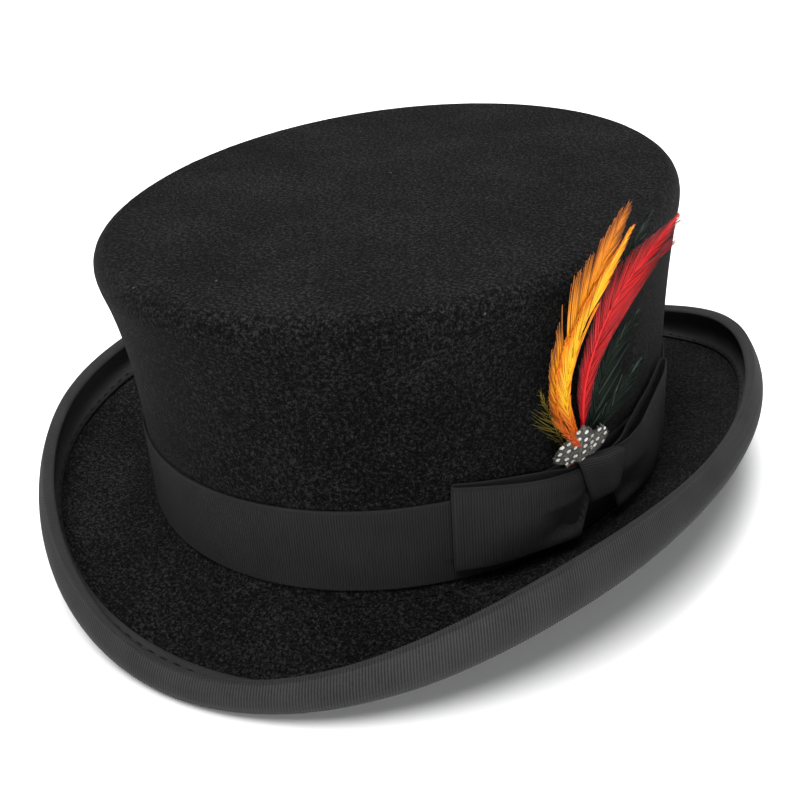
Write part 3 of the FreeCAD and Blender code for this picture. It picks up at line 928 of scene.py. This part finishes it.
def sweatband_shape(phi, z):
    """The band leans in a little towards its top edge."""
    high = SWEATBAND_Z[1]
    return 0.5 * ease(z, high - 12, high) + 0.25 * np.sin(7 * phi) * ease(z, high - 15, high)


def sweatband():
    """A leather strip with closer rows at its edges."""
    low, high = SWEATBAND_Z
    rows = np.r_[low, low + 0.4, np.linspace(low + 2, high - 1, 22), high - 0.3, high]
    inside_layer("sweatband_leather_strip", "sweatband", 0.75, 1.1, rows, LEATHER, sweatband_shape, 360)


def lining_shape(phi, z):
    """Soft vertical folds that grow towards the tip."""
    folds = np.abs(np.sin(phi * 26 + 0.5 * np.sin(phi * 7))) ** 1.5
    return 0.25 + 1.3 * folds * ease(z, 40, LINING_Z[1] - 4)


def lining_side():
    rows = np.linspace(LINING_Z[0] + LINING_TUCK, LINING_Z[1] - 0.3, 30)
    inside_layer("lining_side_panel", "lining_side", 0.2, 0.25, rows, SATIN, lining_shape, 900)


def lining_tip():
    """The satin oval that closes the lining, with a corded seam around it."""
    phi = turns(TIP_COLUMNS)[None]
    z_edge = cad_box("lining_tip")[0][2]
    edge = wall_rho(phi, LINING_Z[1], INNER_WALL) - TIP_INSET
    shares = np.r_[0.001, np.linspace(0.03, 0.9, 24), 0.94, 0.97, 0.99, 1.0][:, None]
    sag = -1.2 * (1 - shares ** 2) * (0.8 + 0.2 * shares * np.sin(5 * phi + shares * 9))
    ruck = -0.25 * np.sin(phi * 58) * ease(shares, 0.75, 0.98)
    z = z_edge + sag + ruck
    panel = sheet_mesh(polar(phi, edge * shares, z - 0.3), polar(phi, edge * shares, z + 0.05), True)
    add("lining_tip_panel", panel, SATIN, "lining_tip")
    turn = turns(CORD_SIDES)[:, None]
    ring = edge + 0.2 + CORD_RADIUS * np.cos(turn) + 0.05 * np.sin(phi * 200)
    cord = polar(phi, ring, z_edge - 0.9 + CORD_RADIUS * np.sin(turn))
    faces = grid_faces(CORD_SIDES + 1, TIP_COLUMNS, True) % (CORD_SIDES * TIP_COLUMNS)
    add("lining_seam_cord", (cord, faces), SATIN)


def sweatband_bow():
    """Two small loops and a knot of narrow ribbon at the back."""
    low, high = cad_box("sweatband_bow")
    half_x, _, half_z = (high - low) / 2
    parts = []
    turn = np.linspace(0, FULL_TURN, 48, endpoint=False)
    out = 0.5 - 0.5 * np.cos(turn)
    width = np.linspace(-0.6, 0.6, 5)[:, None]
    for direction in (-1, 1):
        x = (direction * half_x * out)[None]
        y = -(x / half_x) ** 2 * 0.8 + width
        z = half_z * 0.9 * np.sin(turn) * out ** 0.5 * (1 + 0.1 * width)
        loop = stack(x, y, z)
        inner = loop * np.array([0.9, 1.0, 0.84]) + np.array([direction * 0.3, 0, 0])
        parts.append(sheet_mesh(loop, inner, True, direction > 0))
    turn = np.linspace(0, FULL_TURN, 24, endpoint=False)[None]
    tall = np.linspace(-1.3, 1.3, 7)[:, None]
    x = 1.2 * np.sin(turn) * (1 - 0.25 * (tall / 1.3) ** 2)
    knot = stack(x, 0.75 * np.cos(turn), tall)
    parts.append(sheet_mesh(knot, knot * np.array([0.6, 0.6, 1.0]), True, True))
    points, faces = join(parts)
    points = points + np.array([(low[0] + high[0]) / 2, low[1] + 0.7, (low[2] + high[2]) / 2])
    material = satin_material("narrow_black_ribbon", (0.012, 0.012, 0.014), (0.04, 0.04, 0.046))
    add("sweatband_ribbon_bow", (points, faces), material, "sweatband_bow")


def size_label():
    """A blank label whose ends lift a little off the band."""
    low, high = cad_box("size_label")
    x = np.linspace(low[0], high[0], 40)[None]
    z = np.linspace(low[2], high[2], 24)[:, None]
    phi = np.arctan2(high[1], x)
    rho = wall_rho(phi, z, INNER_WALL) - 2.65 - 0.12 * np.abs(x / high[0]) ** 6
    label = sheet_mesh(polar(phi, rho - 0.28, z), polar(phi, rho, z))
    add("blank_size_label", label, label_material(), "size_label")


sweatband()
lining_side()
lining_tip()
sweatband_bow()
size_label()
give(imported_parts["sweatband_reed"], reed_material())

# --- feathers
QUILL_STEPS = 44
QUILL_SIDES = 6
BARB_STEPS = 6
BARB_THICKNESS = 0.06
PLUME = "feather_plume"


class Spine:
    """A feather's quill line and the vane's edges, read from slices of its CAD solid."""

    def __init__(self, points, triangles, count=48):
        low, high = points[:, 2].min(), points[:, 2].max()
        rows = []
        for z in low + (high - low) * np.linspace(0.004, 0.996, count):
            loop = max(cut_loops(points, triangles, (0, 0, 1), z), key=len)
            phi = np.arctan2(loop[:, 1], loop[:, 0])
            left, right = loop[phi.argmin()], loop[phi.argmax()]
            chord = unit(right - left)
            out = np.array([chord[1], -chord[0], 0])
            out *= np.sign(out @ (left + right))
            ridge = loop[((loop - left) @ out).argmax()]
            rows.append(np.concatenate([left, right, ridge]))
        rows = resample(np.array(rows), count, 3)
        left, right, self.middle = rows[:, :3], rows[:, 3:6], rows[:, 6:]
        run = run_along(self.middle)
        self.length = run[-1]
        self.share = run / self.length
        widths = []
        for share in self.share:
            point, ahead, across, _ = self.at(share)
            aside = [np.interp(0, (edge - point) @ ahead, (edge - point) @ across) for edge in (left, right)]
            widths.append((max(-aside[0], 0.2), max(aside[1], 0.2)))
        self.widths = np.array(widths).T

    def point(self, share):
        return np.array([np.interp(share, self.share, self.middle[:, i]) for i in range(3)])

    def at(self, share):
        """Point, direction, way across and way outwards at a share of the length."""
        share = np.clip(share, 0, 1)
        point = self.point(share)
        ahead = unit(self.point(min(share + 0.03, 1)) - self.point(max(share - 0.03, 0)))
        out = np.array([point[0], point[1], 0]) / math.hypot(point[0], point[1])
        across = np.cross([0, 0, 1], out)
        across = unit(across - ahead * (across @ ahead))
        return point, ahead, across, np.cross(across, ahead)

    def width(self, side, share):
        """The vane's width on one side: -1 is left, 1 is right."""
        return float(np.interp(share, self.share, self.widths[0 if side < 0 else 1]))


def barb(place, side, length, angle, width, camber):
    """One barb: a narrow closed strip that curves towards the feather's tip.

    place is the barb's root and the ways ahead, across and outwards there.
    """
    root, ahead, across, out = place
    share = np.linspace(0, 1, BARB_STEPS)
    turn = angle * (1 - 0.25 * share)
    step = length / (BARB_STEPS - 1)
    forward = np.r_[0, np.cumsum(np.cos(turn[:-1]) * step)]
    aside = np.r_[0, np.cumsum(np.sin(turn[:-1]) * step)]
    line = root + ahead * forward[:, None] + across * (side * aside)[:, None]
    line = line + out * (camber * share ** 2)[:, None]
    flat = ahead * np.sin(turn)[:, None] - across * (side * np.cos(turn))[:, None]
    half = (width * (1 - 0.75 * share ** 2) / 2)[:, None]
    rings = np.stack([line + flat * half, line + out * BARB_THICKNESS, line - flat * half], 1)
    last = 3 * (BARB_STEPS - 1)
    faces = grid_faces(BARB_STEPS, 3, True).tolist() + [[2, 1, 0], [last, last + 1, last + 2]]
    return rings.reshape(-1, 3), faces, np.repeat(share, 3)


def barb_length(spine, side, share, angle, wider):
    """The length that brings a barb's tip to the edge of the vane.

    wider is one factor on the CAD vane's width, or (share, factor) pairs along the feather.
    """
    length = 2.0
    for _ in range(6):
        tip = share + length * math.cos(angle) / spine.length
        factor = wider if isinstance(wider, float) else np.interp(tip, *zip(*wider))
        reach = spine.width(side, min(tip, 1.0)) * factor
        if tip > 1:
            reach = min(reach, 0.4)
        length = 0.5 * (length + reach / math.sin(angle))
    return length


def feather(spine, vane_from, spacing, widths, angles, loose=0.06, split=0.05, quill=0.5, quill_from=0.0,
            barb_width=0.5, camber=0.6, ragged=0.06, notches=((), ()), layers=0.5):
    """Points, faces and vane values of a feather: its quill and all its barbs.

    widths and notches are for the left and the right side: factors on the vane's width, and
    stretches of the quill without barbs. split is the chance that a new clump of barbs starts,
    and loose is how far clumps turn away.
    """
    shares = np.linspace(quill_from, 1, QUILL_STEPS)
    line = np.array([spine.point(share) for share in shares])
    parts = [tube_mesh(line, quill * (1 - 0.85 * shares), QUILL_SIDES)]
    on_quill = np.repeat(shares, QUILL_SIDES)
    values = [stack(on_quill, -0.2, 0.5)]
    count = int(spine.length * (1 - vane_from) / spacing)
    for side, wider, bare in zip((-1, 1), widths, notches):
        clump = 0.0
        for i in range(count):
            place = i / count
            share = vane_from + (0.995 - vane_from) * place
            if rng.random() < split:
                clump = rng.normal(0, loose)
            if any(low < share < high for low, high in bare):
                continue
            point, ahead, across, out = spine.at(share)
            angle = math.radians(angles[0] + (angles[1] - angles[0]) * place)
            angle = max(angle * (1 + rng.normal(0, 0.04)) + clump, 0.12)
            length = barb_length(spine, side, share, angle, wider)
            length *= 1 - abs(rng.normal(0, ragged))
            root = point + out * rng.uniform(-0.5, 0.5) * layers
            width = barb_width * rng.normal(1, 0.1)
            lift = camber * rng.uniform(0.5, 1.0)
            points, faces, along = barb((root, ahead, across, out), side, length, angle, width, lift)
            parts.append((points, faces))
            along_quill = share + 0.6 * along * length / spine.length
            values.append(stack(along_quill, along, rng.random()))
    return join(parts), np.concatenate(values)


def feather_piece(name, node, built, material):
    """One piece from several feathers."""
    shapes, vanes = zip(*built)
    add(name, join(shapes), material, node, PLUME, vane=np.concatenate(vanes))


# Colours are linear
YELLOW = (0.93, 0.47, 0.008)
ORANGE = (0.72, 0.16, 0.006)
BROWN = (0.22, 0.055, 0.006)
RED = (0.56, 0.006, 0.009)
BRIGHT_RED = (0.66, 0.012, 0.015)
WINE = (0.14, 0.006, 0.008)
BLACK_GREEN = (0.006, 0.011, 0.008)


def orange_feathers():
    """A brown-edged feather and, in front of it, a forked yellow one."""
    base = [(0.20, RED), (0.29, (0.78, 0.07, 0.006)), (0.38, ORANGE)]
    amber = [(0.48, (0.84, 0.32, 0.006)), (0.95, (0.74, 0.21, 0.005))]
    orange = feather_material("orange_feather", base + amber, BROWN)
    yellow = feather_material("yellow_feather", base + [(0.46, YELLOW)], ORANGE, dark=0.25, edge_from=0.6)
    left = ((0.30, 0.30), (0.50, 0.38), (0.64, 0.65), (0.76, 1.05), (0.9, 1.5), (1.0, 2.0))
    right = ((0.30, 0.45), (0.50, 0.60), (0.76, 0.70), (0.90, 1.4), (1.0, 1.6))
    built = feather(Spine(*cad_mesh("orange_feather_long")), 0.20, 0.36, (left, right), (22, 17),
                    ragged=0.08, loose=0.04, barb_width=0.6, notches=(((0.585, 0.62),), ()))
    feather_piece("orange_feather_main", "orange_feather_long", [built], orange)
    left = ((0.30, 0.5), (0.50, 0.7), (1.0, 1.0))
    right = ((0.30, 0.45), (0.52, 0.5), (0.66, 0.85), (0.78, 0.85), (0.84, 0.45), (1.0, 0.8))
    built = feather(Spine(*cad_mesh("orange_feather_forked")), 0.20, 0.34, (left, right), (16, 9),
                    ragged=0.03, loose=0.02, barb_width=0.6, notches=((), ((0.63, 0.74),)))
    feather_piece("orange_feather_split", "orange_feather_forked", [built], yellow)


def red_feather():
    """A red feather that broadens to the right."""
    material = feather_material("red_feather", [(0.2, RED), (0.5, RED), (0.95, BRIGHT_RED)], WINE)
    left = ((0.30, 0.30), (0.55, 0.7), (0.75, 1.2), (1.0, 1.6))
    right = ((0.30, 0.3), (0.45, 0.4), (0.60, 1.0), (0.75, 1.7), (0.9, 2.5), (1.0, 2.8))
    built = feather(Spine(*cad_mesh("red_feather")), 0.24, 0.42, (left, right), (28, 25), quill=0.8,
                    barb_width=0.38)
    feather_piece("red_feather_vane", "red_feather", [built], material)


def green_feathers():
    """Loose feathers, almost black, with a few pale barbs."""
    material = feather_material("green_feather", [(0.3, BLACK_GREEN), (0.75, (0.007, 0.014, 0.009))],
                                (0.003, 0.005, 0.004), gloss=0.1, streak=(0.07, 0.10, 0.085))
    built = [feather(Spine(*part), 0.24, 0.4, (1.6, 1.6), (34, 20), ragged=0.22, loose=0.12)
             for part in cad_parts("green_feathers")]
    feather_piece("green_feather_group", "green_feathers", built, material)


def hackle_wisps():
    """A loose olive spray at the side and a few orange barbs over the foot of the plume."""
    olive = feather_material("olive_feather", [(0.3, (0.05, 0.06, 0.012)), (0.8, (0.30, 0.22, 0.02))],
                             (0.20, 0.16, 0.02), dark=0.3)
    ember = feather_material("ember_feather", [(0.1, RED), (0.5, (0.78, 0.10, 0.006)), (0.95, ORANGE)],
                             (0.45, 0.16, 0.01), dark=0.2)
    front, upper = sorted(cad_parts("hackle_wisps"), key=lambda part: -part[0][:, 2].min())
    built = feather(Spine(*upper), 0.25, 0.7, (3.0, 1.3), (36, 14), loose=0.16, split=1.0, ragged=0.45,
                    barb_width=0.13, quill=0.22, layers=2.0)
    feather_piece("olive_wisp", "hackle_wisps", [built], olive)
    built = feather(Spine(*front), 0.36, 0.30, (1.1, 0.8), (20, 8), loose=0.08, split=0.5, ragged=0.35,
                    barb_width=0.2, quill=0.25, quill_from=0.34, layers=1.0)
    feather_piece("ember_wisp", "hackle_wisps", [built], ember)


def guinea_fowl():
    """Short rounded feathers, each a dense fan of barbs."""
    built = [feather(Spine(*part, count=16), 0.02, 0.22, (1.4, 1.4), (74, 30), loose=0.04, split=0.03,
                     quill=0.35, barb_width=0.42, camber=-0.5, ragged=0.07, layers=0.15)
             for part in cad_parts("guinea_fowl_feathers")]
    fan = join([shape for shape, _ in built])
    x, y, z = fan[0].T
    # The spots lie on the crown's side, unrolled, so that they run on from barb to barb
    sheet = stack(np.arctan2(y, x) * 90, z, 0)
    add("guinea_fowl_fan", fan, guinea_material(), "guinea_fowl_feathers", PLUME, sheet=sheet)


def quill_thread():
    """Turns of thread around the quills."""
    low, high = (corner[2] for corner in cad_box("quill_thread"))
    loops = cut_loops(*cad_mesh("quill_thread"), (0, 0, 1), (low + high) / 2)
    loop = max(loops, key=lambda loop: np.ptp(loop[:, 1]))
    loop = resample(np.concatenate([loop, loop[:1]]), 61)
    parts = []
    for z in np.arange(low + 0.25, high, 0.42):
        loop[:, 2] = z
        parts.append(tube_mesh(loop, 0.22, 6))
    add("quill_thread_turns", join(parts), THREAD, "quill_thread", PLUME)


orange_feathers()
red_feather()
green_feathers()
hackle_wisps()
guinea_fowl()
quill_thread()
give(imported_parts["backing_patch"], FELT)

# --- floor, light and camera
FLOOR_SIZE = 30
SKY = (0.96, 0.98, 1.0, 1.0)
# The sky's strength as light, and as the backdrop that the camera sees
AMBIENT = 0.17
BACKDROP = 1.0
LIT_POINT = Vector((0, 0, 0.04))

# The camera's place, as degrees around from the front and up, then its own roll
AZIMUTH, ELEVATION, ROLL = 31.0, 28.3, -4.07
DISTANCE = 0.408
LENS = 52.7
SENSOR = 36.0
AIM = Vector((0, 0, 0.060))
# How far the camera stands aside from the line to its aim: to the right, and up
SIDESTEP = (-0.0010, -0.0424)


def light(kind, name, place, size, power):
    """An area light with a round face of this size, or a sun with this angular size."""
    data = bpy.data.lights.new(name, kind)
    if kind == "SUN":
        data.angle = size
    else:
        data.shape = "DISK"
        data.size = size
    data.energy = power
    lamp = bpy.data.objects.new(name, data)
    lamp.location = place
    lamp.rotation_euler = (Vector(place) - LIT_POINT).to_track_quat("Z", "Y").to_euler()
    bpy.context.scene.collection.objects.link(lamp)


def floor():
    """A plain pale floor under the hat."""
    bpy.ops.mesh.primitive_plane_add(size=FLOOR_SIZE, location=(0, 0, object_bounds()[0].z))
    plane = bpy.context.object
    plane.name = "studio_floor"
    look = Look("pale_floor", Roughness=0.85, Specular_IOR_Level=0.2)
    plane.data.materials.append(look.finish(look.greys(look.noise(400, 2), (0.3, 0.80), (0.7, 0.83))))
    plane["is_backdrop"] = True


def sky():
    """A dim even sky that looks bright to the camera."""
    world = bpy.data.worlds.new("studio_world")
    bpy.context.scene.world = world
    world.use_nodes = True
    nodes, links = world.node_tree.nodes, world.node_tree.links
    background = nodes["Background"]
    background.inputs["Color"].default_value = SKY
    seen = nodes.new("ShaderNodeLightPath").outputs["Is Camera Ray"]
    strength = nodes.new("ShaderNodeMapRange")
    strength.inputs["To Min"].default_value = AMBIENT
    strength.inputs["To Max"].default_value = BACKDROP
    links.new(seen, strength.inputs["Value"])
    links.new(strength.outputs["Result"], background.inputs["Strength"])


def camera():
    """The camera looks past the hat's middle, turned a little about its own axis."""
    a, e, roll = (math.radians(value) for value in (AZIMUTH, ELEVATION, ROLL))
    back = Vector((math.sin(a) * math.cos(e), -math.cos(a) * math.cos(e), math.sin(e)))
    right = Vector((math.cos(a), math.sin(a), 0))
    up = back.cross(right)
    right, up = right * math.cos(roll) + up * math.sin(roll), up * math.cos(roll) - right * math.sin(roll)
    data = bpy.data.cameras.new("camera")
    data.lens = LENS
    data.sensor_width = SENSOR
    data.clip_start = 0.01
    cam = bpy.data.objects.new("camera", data)
    bpy.context.scene.collection.objects.link(cam)
    place = AIM + right * SIDESTEP[0] + up * SIDESTEP[1] + back * DISTANCE
    cam.matrix_world = Matrix.Translation(place) @ Matrix((right, up, back)).transposed().to_4x4()
    bpy.context.scene.camera = cam


floor()
sky()
light("SUN", "key", (0.05, -0.45, 1.3), 0.6, 3.5)
light("AREA", "top", (-0.15, 0.35, 1.3), 0.9, 20)
light("AREA", "fill", (0.9, -1.1, 0.4), 0.8, 11)
camera()
bpy.context.scene.view_settings.view_transform = "Standard"
